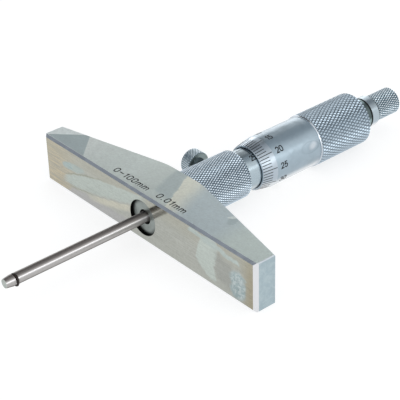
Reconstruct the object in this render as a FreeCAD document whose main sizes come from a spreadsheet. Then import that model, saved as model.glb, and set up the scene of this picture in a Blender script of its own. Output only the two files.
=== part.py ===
import FreeCAD, Part
import math
import os

import Sketcher

# Depth micrometer with an interchangeable rod, drawn at a reading of 25 mm.
# Millimetres. The origin is the centre of the measuring face, on the rod's axis.
# +X runs along the base, +Y up the spindle towards the ratchet, and +Z is the
# normal of the base's upper side face, so the instrument lies on its other side.

doc = FreeCAD.newDocument("DepthMicrometer")
sheet = doc.addObject("Spreadsheet::Sheet", "Sizes")


class Size:
    """A length known as a number and as a formula on the sheet."""

    def __init__(self, number, formula):
        self.number = number
        self.formula = formula

    def __add__(self, other):
        other = as_size(other)
        return Size(self.number + other.number, f"({self.formula} + {other.formula})")

    def __sub__(self, other):
        other = as_size(other)
        return Size(self.number - other.number, f"({self.formula} - {other.formula})")

    def __mul__(self, factor):
        return Size(self.number * factor, f"({self.formula} * {factor:.9f})")

    def __neg__(self):
        return Size(-self.number, f"(0 - {self.formula})")


def as_size(value):
    return value if isinstance(value, Size) else Size(float(value), f"{float(value):.9f}")


def size(alias, number, meaning):
    """Write one driving dimension on the sheet and return it."""
    size.row += 1
    sheet.set(f"A{size.row}", meaning)
    sheet.set(f"B{size.row}", str(number))
    sheet.setAlias(f"B{size.row}", alias)
    return Size(float(number), f"Sizes.{alias}")


size.row = 0

# Base
base_length = size("base_length", 101.6, "measuring face, end to end")
base_thickness = size("base_thickness", 17.0, "base, side face to side face")
base_height = size("base_height", 17.4, "measuring face to the flat the hub stands on")
base_end_height = size("base_end_height", 7.5, "base height at its two ends")
base_flat = size("base_flat", 16.0, "length of the flat the hub stands on")
shoulder_radius = size("shoulder_radius", 20.0, "round between the flat and the slopes")
end_bevel = size("end_bevel", 1.2, "bevel of the upright edges at the measuring face")
face_bevel = size("face_bevel", 0.75, "bevel of the measuring face's long edges")
rim_bevel = size("rim_bevel", 0.3, "bevel of the other long edges")
base_bore = size("base_bore", 6.05, "radius of the bore through the base")

# Fits
seat_gap = size("seat_gap", 0.02, "radial gap where one piece seats in another")
thread_gap = size("thread_gap", 0.05, "radial gap between two threads")
running_gap = size("running_gap", 0.05, "radial gap of a shaft that turns or slides")
rod_gap = size("rod_gap", 0.07, "radial gap between the rod and the spindle")
nut_gap = size("nut_gap", 0.15, "radial gap round the rod's nuts and the crown")
thimble_gap = size("thimble_gap", 0.15, "radial gap between the thimble and the sleeve")
end_play = size("end_play", 0.05, "axial gap between faces that turn on each other")

# Measuring rod
rod_radius = size("rod_radius", 1.8, "measuring rod")
rod_reach = size("rod_reach", 50.7, "rod below the measuring face")
nose_drop = size("nose_drop", 0.35, "loss of radius at the rod's flat end")
nose_length = size("nose_length", 2.3, "cone behind the rod's flat end")
ring_height = size("ring_height", 3.5, "flat end of the rod to the ring's middle")
ring_wire = size("ring_wire", 0.5, "radius of the ring's section")
ring_groove_depth = size("ring_groove_depth", 0.6, "depth of the ring's groove")
rod_nut_length = size("rod_nut_length", 2.5, "thickness of the rod's two nuts")
rod_nut_space = size("rod_nut_space", 0.1, "gap between the rod's two nuts")
rod_tail = size("rod_tail", 0.3, "rod above its upper nut")

# Hub
hub_radius = size("hub_radius", 8.2, "knurled hub")
hub_length = size("hub_length", 20.35, "hub above the base")
hub_bevel = size("hub_bevel", 0.6, "bevel of the hub's upper rim")
hub_recess = size("hub_recess", 1.5, "depth of the hub's lower face in the base bore")
hub_floor = size("hub_floor", 2.5, "thickness of the hub's lower wall")
rod_hole_gap = size("rod_hole_gap", 0.7, "radial gap round the rod in the hub's lower wall")
spindle_room_gap = size("spindle_room_gap", 0.35, "radial gap round the spindle in the hub")

# Spindle screw
spindle_foot = size("spindle_foot", 1.0, "hub's lower wall to the spindle")
spindle_wall = size("spindle_wall", 1.38, "wall of the spindle's ground guide")
screw_step = size("screw_step", 0.3, "step from the guide up to the screw")
screw_stop = size("screw_stop", 0.3, "screw to the guide sleeve's shoulder")
cup_radius = size("cup_radius", 3.35, "cup that holds the rod's nuts")
cup_wall = size("cup_wall", 2.0, "cup floor below the thimble's seat")
cup_side = size("cup_side", 1.05, "side wall of the cup")
flange_step = size("flange_step", 0.8, "width of the flange that the thimble seats on")
flange_length = size("flange_length", 3.0, "thickness of that flange")
flange_room = size("flange_room", 3.0, "split nut to the flange at full reach")

# Guide sleeve with the split nut
guide_inset = size("guide_inset", 1.6, "base to the lower end of the guide sleeve")
guide_radius = size("guide_radius", 5.9, "outside of the guide sleeve")
guide_length = size("guide_length", 18.0, "bore that guides the spindle")
relief_gap = size("relief_gap", 0.3, "radial gap round the screw above the guide")
nut_length = size("nut_length", 18.0, "threaded bore that the screw turns in")
taper_space = size("taper_space", 0.75, "graduated sleeve to the taper")
taper_length = size("taper_length", 5.5, "tapered outside of the split nut")
taper_drop = size("taper_drop", 0.5, "loss of radius along the taper")
taper_step = size("taper_step", 0.3, "step from the sleeve down to the taper")
slot_width = size("slot_width", 0.8, "slots of the split nut")
slot_length = size("slot_length", 14.0, "slots of the split nut")
nut_slots = 3
collar_drop = size("collar_drop", 0.2, "adjusting nut under the graduated sleeve's radius")
collar_length = size("collar_length", 4.0, "adjusting nut on the taper")
collar_setback = size("collar_setback", 0.7, "adjusting nut below the split nut's end")
collar_notch = size("collar_notch", 1.4, "width of the adjusting nut's two key slots")
collar_notch_depth = size("collar_notch_depth", 1.2, "depth of the two key slots")

# Graduated sleeve
sleeve_wall = size("sleeve_wall", 0.98, "wall of the graduated sleeve")
sleeve_length = size("sleeve_length", 32.0, "graduated sleeve above the hub")
key_hole = size("key_hole", 0.9, "radius of the hole for the hook key")
key_hole_height = size("key_hole_height", 2.5, "hook key hole above the hub")

# Thimble
sleeve_show = size("sleeve_show", 5.05, "hub to the thimble's edge at full reach")
edge_wall = size("edge_wall", 0.65, "thickness of the thimble's edge")
cone_rise = size("cone_rise", 1.0, "gain of radius along the graduated bevel")
cone_length = size("cone_length", 5.8, "length of the graduated bevel")
grip_step = size("grip_step", 0.45, "step and bevels of the knurled grip")
grip_start = size("grip_start", 25.3, "thimble edge to the start of the grip")
thimble_wall = size("thimble_wall", 9.5, "closed end of the thimble")

# Cap and ratchet
cap_length = size("cap_length", 4.5, "cap above the thimble")
cap_bevel = size("cap_bevel", 0.35, "bevels beside the parting line")
plug_length = size("plug_length", 5.6, "threaded plug of the cap")
stem_radius = size("stem_radius", 2.1, "stem that carries the ratchet")
stem_length = size("stem_length", 10.0, "stem above the cap")
flat_depth = size("flat_depth", 0.45, "depth of the stem's two flats")
parting_gap = size("parting_gap", 0.2, "line between the cap and the knob")
ring_step = size("ring_step", 0.7, "plain ring over the knurled part")
ring_length = size("ring_length", 3.3, "plain ring of the ratchet knob")
knob_wall = size("knob_wall", 1.05, "wall of the knurled part")
knob_length = size("knob_length", 14.5, "ratchet knob")
knob_bevel = size("knob_bevel", 0.5, "bevel of the knob's end")
knob_floor = size("knob_floor", 2.0, "toothed floor of the ratchet knob")
knob_room = size("knob_room", 3.7, "radius of the knob's inside")
crown_length = size("crown_length", 2.0, "toothed crown without its teeth")
tooth_width = size("tooth_width", 0.6, "crown tooth at its root")
tooth_height = size("tooth_height", 0.4, "crown tooth")
ratchet_teeth = 12
spring_wire = size("spring_wire", 0.5, "side of the spring's square wire")
spring_gap = size("spring_gap", 0.65, "radial gap between the stem and the spring")
spring_turns = 3
washer_length = size("washer_length", 0.6, "washer on the stem")
washer_gap = size("washer_gap", 0.2, "radial gap round the washer")
head_gap = size("head_gap", 0.6, "radial gap round the retaining screw's head")
head_length = size("head_length", 2.0, "head of the retaining screw")
head_slot = size("head_slot", 0.8, "width of the screwdriver slot")
head_slot_depth = size("head_slot_depth", 0.9, "depth of the screwdriver slot")
fixing_radius = size("fixing_radius", 1.1, "thread of the retaining screw")
fixing_length = size("fixing_length", 5.0, "thread of the retaining screw")

# Spindle lock
lock_drop = size("lock_drop", 4.65, "hub's upper end to the lock screw")
lock_gap = size("lock_gap", 0.4, "pad to spindle when the lock is open")
pad_radius = size("pad_radius", 1.5, "brass pad")
pad_proud = size("pad_proud", 0.5, "pad above the guide sleeve when the lock is open")
lock_thread = size("lock_thread", 2.0, "thread of the lock screw")
lock_neck_space = size("lock_neck_space", 2.7, "hub to the neck of the lock screw")
lock_neck_step = size("lock_neck_step", 0.9, "neck over the thread")
lock_neck_length = size("lock_neck_length", 1.3, "neck under the lock knob")
lock_knob_radius = size("lock_knob_radius", 4.4, "knob of the lock screw")
lock_knob_length = size("lock_knob_length", 4.0, "knob of the lock screw")
lock_knob_bevel = size("lock_knob_bevel", 0.3, "bevels of the lock knob")

# Radii that follow from the fits, from the rod outwards
rod_hole = rod_radius + rod_hole_gap
spindle_bore = rod_radius + rod_gap
spindle_radius = spindle_bore + spindle_wall
guide_bore = spindle_radius + running_gap
spindle_room = spindle_radius + spindle_room_gap
screw_radius = spindle_radius + screw_step
relief_radius = screw_radius + relief_gap
taper_radius = guide_radius - taper_step
guide_seat = guide_radius + seat_gap
sleeve_radius = guide_seat + sleeve_wall
collar_radius = sleeve_radius - collar_drop
thimble_bore = sleeve_radius + thimble_gap
thimble_edge = thimble_bore + edge_wall
thimble_radius = thimble_edge + cone_rise
grip_radius = thimble_radius + grip_step
tail_radius = cup_radius + cup_side
flange_radius = tail_radius + flange_step
plug_radius = cup_radius - thread_gap
rod_nut_radius = cup_radius - nut_gap
ring_groove = rod_radius - ring_groove_depth
knob_bore = stem_radius + running_gap
stem_flat = stem_radius - flat_depth
spring_inside = stem_radius + spring_gap
crown_radius = knob_room - nut_gap
washer_radius = knob_room - washer_gap
head_radius = knob_room - head_gap
knob_radius = knob_room + knob_wall
cap_radius = knob_radius + ring_step

# Heights that follow from the pieces below them
hub_end = base_height + hub_length
hub_floor_top = hub_recess + hub_floor
lock_height = hub_end - lock_drop
guide_start = base_height + guide_inset
guide_end = guide_start + guide_length
sleeve_end = hub_end + sleeve_length
taper_start = sleeve_end + taper_space
nut_end = taper_start + taper_length
nut_start = nut_end - nut_length
spindle_start = hub_floor_top + spindle_foot
screw_start = guide_end + screw_stop
flange_start = nut_end + flange_room
thimble_start = hub_end + sleeve_show
thimble_seat = flange_start + flange_length
thimble_end = thimble_seat + thimble_wall
cup_floor = thimble_seat - cup_wall
cap_end = thimble_end + cap_length
knob_start = cap_end + parting_gap
knob_seat = knob_start + knob_floor
crown_start = knob_seat + end_play
stem_end = cap_end + stem_length
washer_end = stem_end + washer_length
lower_nut = cup_floor + end_play
upper_nut = lower_nut + rod_nut_length + rod_nut_space
rod_end = upper_nut + rod_nut_length + rod_tail


def origin_part(body, role):
    return next(part for part in body.Origin.OriginFeatures if part.Role == role)


def new_body(label):
    body = doc.addObject("PartDesign::Body", label)
    body.Label = label
    return body


def new_sketch(body, role, name):
    sketch = body.newObject("Sketcher::SketchObject", name)
    sketch.AttachmentSupport = [(origin_part(body, role), "")]
    sketch.MapMode = "FlatFace"
    return sketch


def bind(sketch, constraint, value):
    """Add a sized constraint that follows the sheet."""
    number = sketch.addConstraint(constraint)
    sketch.setExpression(f"Constraints[{number}]", value.formula)


def pin_point(sketch, shape, point, across, along):
    """Hold a point of the sketch at its two distances from the origin."""
    places = (("DistanceX", as_size(across), -2), ("DistanceY", as_size(along), -1))
    for kind, value, axis in places:
        if value.number == 0:
            sketch.addConstraint(Sketcher.Constraint("PointOnObject", shape, point, axis))
        else:
            bind(sketch, Sketcher.Constraint(kind, -1, 1, shape, point, value.number), value)


def draw_outline(sketch, corners):
    """Closed outline of straight lines through the corners (across, along)."""
    places = [FreeCAD.Vector(as_size(x).number, as_size(y).number, 0) for x, y in corners]
    count = len(places)
    first = sketch.GeometryCount
    for number in range(count):
        sketch.addGeometry(Part.LineSegment(places[number], places[(number + 1) % count]))
    for number in range(count):
        following = first + (number + 1) % count
        sketch.addConstraint(Sketcher.Constraint("Coincident", first + number, 2, following, 1))
    for number, (x, y) in enumerate(corners):
        pin_point(sketch, first + number, 1, x, y)


def draw_circle(sketch, across, along, radius):
    centre = FreeCAD.Vector(as_size(across).number, as_size(along).number, 0)
    shape = sketch.addGeometry(Part.Circle(centre, FreeCAD.Vector(0, 0, 1), radius.number))
    pin_point(sketch, shape, 3, across, along)
    bind(sketch, Sketcher.Constraint("Radius", shape, radius.number), radius)


def rectangle(left, right, low, high):
    return [(left, low), (right, low), (right, high), (left, high)]


def hexagon(across, along, radius, first):
    """Corners round a centre, the first one at an angle in degrees."""
    angles = [math.radians(first + 60 * number) for number in range(6)]
    return [(across + radius * math.cos(angle), along + radius * math.sin(angle))
            for angle in angles]


def turn(body, sketch):
    """Revolve a sketch about the body's own Y axis."""
    turned_form = body.newObject("PartDesign::Revolution", body.Name + "_turned")
    turned_form.Profile = sketch
    turned_form.ReferenceAxis = (sketch, ["V_Axis"])
    turned_form.Angle = 360
    return turned_form


def turned(label, corners):
    """Turned piece whose half section has the corners (radius, along)."""
    body = new_body(label)
    sketch = new_sketch(body, "XY_Plane", label + "_section")
    draw_outline(sketch, corners)
    turn(body, sketch)
    return body


def extrude(kind, body, sketch, name, length, both_ways=False, reverse=False):
    feature = body.newObject("PartDesign::" + kind, name)
    feature.Profile = sketch
    feature.Length = length.number
    feature.setExpression("Length", length.formula)
    feature.SideType = "Symmetric" if both_ways else "One side"
    feature.Reversed = reverse
    return feature


def repeat_round(body, feature, count, name):
    """Repeat a feature evenly round the body's Y axis."""
    pattern = body.newObject("PartDesign::PolarPattern", name)
    pattern.Originals = [feature]
    pattern.Axis = (origin_part(body, "Y_Axis"), [""])
    pattern.Angle = 360
    pattern.Occurrences = count
    body.Tip = pattern
    return pattern


def edges_where(feature, wanted):
    """Names of the feature's edges whose middle passes the test."""
    names = []
    for number, edge in enumerate(feature.Shape.Edges, 1):
        middle = edge.valueAt((edge.FirstParameter + edge.LastParameter) / 2)
        if wanted(middle):
            names.append(f"Edge{number}")
    return names


def dress(kind, body, base, names, name, amount):
    """Fillet or chamfer the named edges of the feature before."""
    feature = body.newObject("PartDesign::" + kind, name)
    feature.Base = (base, names)
    amount_property = "Radius" if kind == "Fillet" else "Size"
    setattr(feature, amount_property, amount.number)
    feature.setExpression(amount_property, amount.formula)
    return feature


def close_to(value, target):
    return abs(value - target) < 0.01


def cut_side_hole(body, name, along, radius, reach):
    """Radial hole towards -X, where the spindle lock sits."""
    sketch = new_sketch(body, "YZ_Plane", name + "_circle")
    draw_circle(sketch, along, 0, radius)
    extrude("Pocket", body, sketch, name, reach)


def base_block():
    """Ground block with a wide measuring face and two slopes up to the hub's flat."""
    body = new_body("base_block")
    half = base_length * 0.5
    flat = base_flat * 0.5
    sketch = new_sketch(body, "XY_Plane", "base_side")
    draw_outline(sketch, [
        (end_bevel - half, 0), (half - end_bevel, 0),
        (half, end_bevel), (half, base_end_height),
        (flat, base_height), (-flat, base_height),
        (-half, base_end_height), (-half, end_bevel),
    ])
    block = extrude("Pad", body, sketch, "base_pad", base_thickness, both_ways=True)
    doc.recompute()
    side = base_thickness.number / 2
    shoulders = edges_where(block, lambda p: close_to(abs(p.x), flat.number)
                            and close_to(p.y, base_height.number))
    rounded = dress("Fillet", body, block, shoulders, "base_shoulders", shoulder_radius)
    doc.recompute()
    long_edges = edges_where(rounded, lambda p: close_to(p.y, 0) and close_to(abs(p.z), side))
    bevelled = dress("Chamfer", body, rounded, long_edges, "base_face_bevels", face_bevel)
    doc.recompute()
    rims = edges_where(bevelled, lambda p: p.y > 2 * end_bevel.number
                       and close_to(abs(p.z), side))
    dress("Chamfer", body, bevelled, rims, "base_rim_bevels", rim_bevel)
    doc.recompute()
    bore = new_sketch(body, "XZ_Plane", "base_bore_circle")
    draw_circle(bore, 0, 0, base_bore)
    extrude("Pocket", body, bore, "base_bore_cut", base_height * 3, both_ways=True)


def knurled_hub():
    """Hub on the base, with a stub pressed into the base bore."""
    stub = base_bore - seat_gap
    body = turned("knurled_hub", [
        (rod_hole, hub_recess), (stub, hub_recess),
        (stub, base_height), (hub_radius, base_height),
        (hub_radius, hub_end - hub_bevel), (hub_radius - hub_bevel, hub_end),
        (guide_seat, hub_end), (guide_seat, guide_start),
        (spindle_room, guide_start), (spindle_room, hub_floor_top), (rod_hole, hub_floor_top),
    ])
    cut_side_hole(body, "lock_thread_hole", lock_height, lock_thread + thread_gap, hub_radius * 1.5)


def guide_sleeve():
    """Inner sleeve: guide bore below, split nut with a tapered outside above."""
    thread = screw_radius + thread_gap
    body = turned("guide_sleeve", [
        (guide_bore, guide_start), (guide_radius, guide_start),
        (guide_radius, taper_start), (taper_radius, taper_start),
        (taper_radius - taper_drop, nut_end), (thread, nut_end),
        (thread, nut_start), (relief_radius, nut_start),
        (relief_radius, guide_end), (guide_bore, guide_end),
    ])
    cut_side_hole(body, "pad_hole", lock_height, pad_radius + running_gap, guide_radius * 1.5)
    sketch = new_sketch(body, "XY_Plane", "nut_slot_side")
    draw_outline(sketch, rectangle(0, guide_radius * 1.5, nut_end - slot_length, nut_end + 1))
    slot = extrude("Pocket", body, sketch, "nut_slot", slot_width, both_ways=True)
    repeat_round(body, slot, nut_slots, "nut_slots")


def taper_at(place):
    """Radius of the split nut's taper at a height."""
    share = (place.number - taper_start.number) / taper_length.number
    formula = (f"({taper_radius.formula} - {taper_drop.formula} * "
               f"({place.formula} - {taper_start.formula}) / {taper_length.formula})")
    return Size(taper_radius.number - taper_drop.number * share, formula)


def sleeve_adjusting_nut():
    """Nut that climbs the taper and closes the split nut on the screw."""
    end = nut_end - collar_setback
    start = end - collar_length
    bore = taper_at(start) + seat_gap
    body = turned("sleeve_adjusting_nut", rectangle(bore, collar_radius, start, end))
    sketch = new_sketch(body, "XY_Plane", "key_slot_sides")
    draw_outline(sketch, rectangle(-(collar_radius * 1.2), collar_radius * 1.2,
                                   end - collar_notch_depth, end + 1))
    extrude("Pocket", body, sketch, "key_slots", collar_notch, both_ways=True)


def graduated_sleeve():
    """Outer sleeve that carries the main scale, turned with a hook key to set zero."""
    body = turned("graduated_sleeve", rectangle(guide_seat, sleeve_radius, hub_end, sleeve_end))
    sketch = new_sketch(body, "XY_Plane", "key_hole_circle")
    draw_circle(sketch, 0, hub_end + key_hole_height, key_hole)
    extrude("Pocket", body, sketch, "key_hole_cut", sleeve_radius * 1.5)


def spindle():
    """Hollow spindle: ground guide, micrometer screw, thimble seat and nut cup."""
    turned("spindle", [
        (spindle_bore, spindle_start), (spindle_radius, spindle_start),
        (spindle_radius, screw_start), (screw_radius, screw_start),
        (screw_radius, flange_start), (flange_radius, flange_start),
        (flange_radius, thimble_seat), (tail_radius, thimble_seat),
        (tail_radius, thimble_end - cap_bevel), (cup_radius, thimble_end - cap_bevel),
        (cup_radius, cup_floor), (spindle_bore, cup_floor),
    ])


def thimble():
    """Thimble: graduated bevel, plain barrel and knurled grip in one piece."""
    grip = thimble_start + grip_start
    cone_end = thimble_start + cone_length
    seat = tail_radius + seat_gap
    turned("thimble", [
        (thimble_bore, thimble_start), (thimble_edge, thimble_start),
        (thimble_radius, cone_end), (thimble_radius, grip),
        (grip_radius, grip + grip_step), (grip_radius, thimble_end - grip_step),
        (grip_radius - grip_step, thimble_end), (seat, thimble_end),
        (seat, thimble_seat), (thimble_bore, thimble_seat),
    ])


def thimble_cap():
    """Cap that clamps the thimble and the rod's nuts; its flatted stem carries the ratchet."""
    plug_start = thimble_end - plug_length
    fixing_hole = fixing_radius + thread_gap
    hole_floor = stem_end - fixing_length - end_play
    flats_start = crown_start - tooth_height - end_play
    body = turned("thimble_cap", [
        (0, plug_start), (plug_radius, plug_start),
        (plug_radius, thimble_end), (cap_radius, thimble_end),
        (cap_radius, cap_end - cap_bevel), (cap_radius - cap_bevel, cap_end),
        (stem_radius, cap_end), (stem_radius, stem_end),
        (fixing_hole, stem_end), (fixing_hole, hole_floor), (0, hole_floor),
    ])
    sketch = new_sketch(body, "XY_Plane", "stem_flat_sides")
    for side in (1, -1):
        draw_outline(sketch, rectangle(stem_flat * side, stem_radius * (1.5 * side),
                                       flats_start, stem_end + 1))
    extrude("Pocket", body, sketch, "stem_flats", stem_radius * 3, both_ways=True)


def draw_tooth(sketch, root, tip, width):
    """Triangular tooth or groove, seen along a radius."""
    draw_outline(sketch, [(root, -(width * 0.5)), (root, width * 0.5), (tip, 0)])


def ratchet_knob():
    """Hollow knob that turns on the stem; its floor has the grooves of the crown's teeth."""
    ring_end = knob_start + ring_length
    knob_end = knob_start + knob_length
    body = turned("ratchet_knob", [
        (knob_bore, knob_start), (cap_radius - cap_bevel, knob_start),
        (cap_radius, knob_start + cap_bevel), (cap_radius, ring_end),
        (knob_radius, ring_end), (knob_radius, knob_end - knob_bevel),
        (knob_radius - knob_bevel, knob_end), (knob_room, knob_end),
        (knob_room, knob_seat), (knob_bore, knob_seat),
    ])
    groove_depth = tooth_height + end_play
    groove_width = tooth_width + end_play * 3
    sketch = new_sketch(body, "YZ_Plane", "ratchet_groove_section")
    draw_tooth(sketch, knob_seat, knob_seat - groove_depth, groove_width)
    groove = extrude("Pocket", body, sketch, "ratchet_groove", crown_radius)
    repeat_round(body, groove, ratchet_teeth, "ratchet_grooves")


def draw_flatted_circle(sketch, radius, flat):
    """Circle with a flat on each side, the section of a double-D bore."""
    rise = math.sqrt(radius.number ** 2 - flat.number ** 2)
    angle = math.atan2(rise, flat.number)
    circle = Part.Circle(FreeCAD.Vector(0, 0, 0), FreeCAD.Vector(0, 0, 1), radius.number)
    right = sketch.addGeometry(Part.LineSegment(
        FreeCAD.Vector(flat.number, -rise, 0), FreeCAD.Vector(flat.number, rise, 0)))
    top = sketch.addGeometry(Part.ArcOfCircle(circle, angle, math.pi - angle))
    left = sketch.addGeometry(Part.LineSegment(
        FreeCAD.Vector(-flat.number, rise, 0), FreeCAD.Vector(-flat.number, -rise, 0)))
    low = sketch.addGeometry(Part.ArcOfCircle(circle, math.pi + angle, 2 * math.pi - angle))
    for here, there in ((right, top), (top, left), (left, low), (low, right)):
        sketch.addConstraint(Sketcher.Constraint("Coincident", here, 2, there, 1))
    for arc in (top, low):
        sketch.addConstraint(Sketcher.Constraint("Coincident", arc, 3, -1, 1))
    bind(sketch, Sketcher.Constraint("Radius", top, radius.number), radius)
    for line, side in ((right, 1), (left, -1)):
        place = flat * side
        sketch.addConstraint(Sketcher.Constraint("Vertical", line))
        bind(sketch, Sketcher.Constraint("DistanceX", -1, 1, line, 1, place.number), place)


def ratchet_crown():
    """Crown keyed to the stem by two flats, with face teeth that the spring keeps in mesh."""
    body = turned("ratchet_crown", rectangle(0, crown_radius, crown_start, crown_start + crown_length))
    sketch = new_sketch(body, "YZ_Plane", "crown_tooth_section")
    draw_tooth(sketch, crown_start, crown_start - tooth_height, tooth_width)
    tooth = extrude("Pad", body, sketch, "crown_tooth", crown_radius - tooth_height * 0.5)
    repeat_round(body, tooth, ratchet_teeth, "crown_teeth")
    bore = new_sketch(body, "XZ_Plane", "crown_bore_section")
    draw_flatted_circle(bore, knob_bore, stem_flat + running_gap)
    extrude("Pocket", body, bore, "crown_bore", stem_end * 3, both_ways=True)


def ratchet_spring():
    """Coil spring between the crown and the washer."""
    body = new_body("ratchet_spring")
    low = crown_start + crown_length + end_play
    high = stem_end - end_play - spring_wire
    sketch = new_sketch(body, "XY_Plane", "spring_wire_section")
    draw_outline(sketch, rectangle(spring_inside, spring_inside + spring_wire,
                                   low, low + spring_wire))
    coil = body.newObject("PartDesign::AdditiveHelix", "spring_coil")
    coil.Profile = sketch
    coil.ReferenceAxis = (sketch, ["V_Axis"])
    coil.Mode = "height-turns-angle"
    coil.Height = (high - low).number
    coil.setExpression("Height", (high - low).formula)
    coil.Turns = spring_turns


def spring_washer():
    """Washer that the screw holds on the stem, the spring's upper seat."""
    turned("spring_washer", rectangle(fixing_radius + running_gap, washer_radius, stem_end, washer_end))


def ratchet_screw():
    """Slotted screw that holds the ratchet together."""
    head_end = washer_end + head_length
    body = turned("ratchet_screw", [
        (0, stem_end - fixing_length), (fixing_radius, stem_end - fixing_length),
        (fixing_radius, washer_end), (head_radius, washer_end),
        (head_radius, head_end), (0, head_end),
    ])
    sketch = new_sketch(body, "XY_Plane", "screw_slot_side")
    draw_outline(sketch, rectangle(-(head_radius * 1.2), head_radius * 1.2,
                                   head_end - head_slot_depth, head_end + 1))
    extrude("Pocket", body, sketch, "screw_slot", head_slot, both_ways=True)


def measuring_rod():
    """Hardened rod: lapped flat end, groove for the ring, threaded tail for its nuts."""
    tip = -rod_reach
    ring = tip + ring_height
    turned("measuring_rod", [
        (0, tip), (rod_radius - nose_drop, tip),
        (rod_radius, tip + nose_length), (rod_radius, ring - ring_wire),
        (ring_groove, ring - ring_wire), (ring_groove, ring + ring_wire),
        (rod_radius, ring + ring_wire), (rod_radius, rod_end), (0, rod_end),
    ])


def rod_ring():
    """Rubber ring in the rod's groove, of six-sided section."""
    flat = ring_wire - seat_gap
    section = flat * (1 / math.cos(math.radians(30)))
    turned("rod_ring", hexagon(ring_groove + seat_gap + section, ring_height - rod_reach, section, 0))


def rod_nut(label, start):
    """Hexagon nut on the rod's tail; the rod's length is set between the two."""
    body = new_body(label)
    sketch = new_sketch(body, "XZ_Plane", label + "_hexagon")
    centre = as_size(0)
    draw_outline(sketch, hexagon(centre, centre, rod_nut_radius, 30))
    draw_circle(sketch, 0, 0, rod_radius + seat_gap)
    extrude("Pad", body, sketch, label + "_pad", rod_nut_length, reverse=True)
    body.setExpression("Placement.Base.y", start.formula)


def place_lock_piece(body):
    """Turn a piece drawn along +Y outwards to -X, at the height of the lock."""
    body.Placement = FreeCAD.Placement(
        FreeCAD.Vector(0, lock_height.number, 0), FreeCAD.Rotation(FreeCAD.Vector(0, 0, 1), 90))
    body.setExpression("Placement.Base.y", lock_height.formula)


def lock_pad():
    """Brass pad that bears on the spindle."""
    start = spindle_radius + lock_gap
    body = turned("lock_pad", rectangle(0, pad_radius, start, guide_radius + pad_proud))
    place_lock_piece(body)


def lock_screw():
    """Lock screw with a knurled knob."""
    tip = guide_radius + pad_proud + end_play
    neck_start = hub_radius + lock_neck_space
    neck = lock_thread + lock_neck_step
    knob_start = neck_start + lock_neck_length
    knob_end = knob_start + lock_knob_length
    rim = lock_knob_radius - lock_knob_bevel
    body = turned("lock_screw", [
        (0, tip), (lock_thread, tip),
        (lock_thread, neck_start), (neck, neck_start),
        (neck, knob_start), (rim, knob_start),
        (lock_knob_radius, knob_start + lock_knob_bevel),
        (lock_knob_radius, knob_end - lock_knob_bevel),
        (rim, knob_end), (0, knob_end),
    ])
    place_lock_piece(body)


def export_pieces():
    """Check every object and write one file for each piece."""
    doc.recompute()
    faulty = [item.Name for item in doc.Objects if {"Invalid", "Error"} & set(item.State)]
    if faulty:
        raise RuntimeError("objects failed: " + ", ".join(faulty))
    bodies = [item for item in doc.Objects if item.isDerivedFrom("PartDesign::Body")]
    for body in bodies:
        if body.Shape.isNull() or not body.Shape.isValid() or len(body.Shape.Solids) != 1:
            raise RuntimeError("not one sound solid: " + body.Label)
    os.makedirs("parts", exist_ok=True)
    for body in bodies:
        body.Shape.exportStep(f"parts/{body.Label}.step")
        print(body.Label, round(body.Shape.Volume, 3))


base_block()
knurled_hub()
guide_sleeve()
sleeve_adjusting_nut()
graduated_sleeve()
spindle()
thimble()
thimble_cap()
ratchet_knob()
ratchet_crown()
ratchet_spring()
spring_washer()
ratchet_screw()
measuring_rod()
rod_ring()
rod_nut("rod_adjusting_nut", lower_nut)
rod_nut("rod_lock_nut", upper_nut)
lock_pad()
lock_screw()
export_pieces()
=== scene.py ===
import math

import bmesh
import bpy
from mathutils import Matrix, Vector


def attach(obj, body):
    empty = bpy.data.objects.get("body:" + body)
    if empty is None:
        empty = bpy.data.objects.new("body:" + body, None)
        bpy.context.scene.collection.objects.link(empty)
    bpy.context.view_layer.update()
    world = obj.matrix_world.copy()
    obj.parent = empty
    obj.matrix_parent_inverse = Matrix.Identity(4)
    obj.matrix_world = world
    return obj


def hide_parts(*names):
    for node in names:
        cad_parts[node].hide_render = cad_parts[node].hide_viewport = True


# Depth micrometer. The script measures in millimetres and hands metres to Blender.
MM = 0.001
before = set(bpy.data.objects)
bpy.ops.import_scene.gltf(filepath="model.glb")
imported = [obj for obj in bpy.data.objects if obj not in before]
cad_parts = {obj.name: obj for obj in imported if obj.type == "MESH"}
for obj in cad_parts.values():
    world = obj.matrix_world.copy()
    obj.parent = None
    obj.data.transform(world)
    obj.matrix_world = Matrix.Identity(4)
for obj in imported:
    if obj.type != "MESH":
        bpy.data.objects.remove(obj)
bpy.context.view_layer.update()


# Node trees

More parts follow.
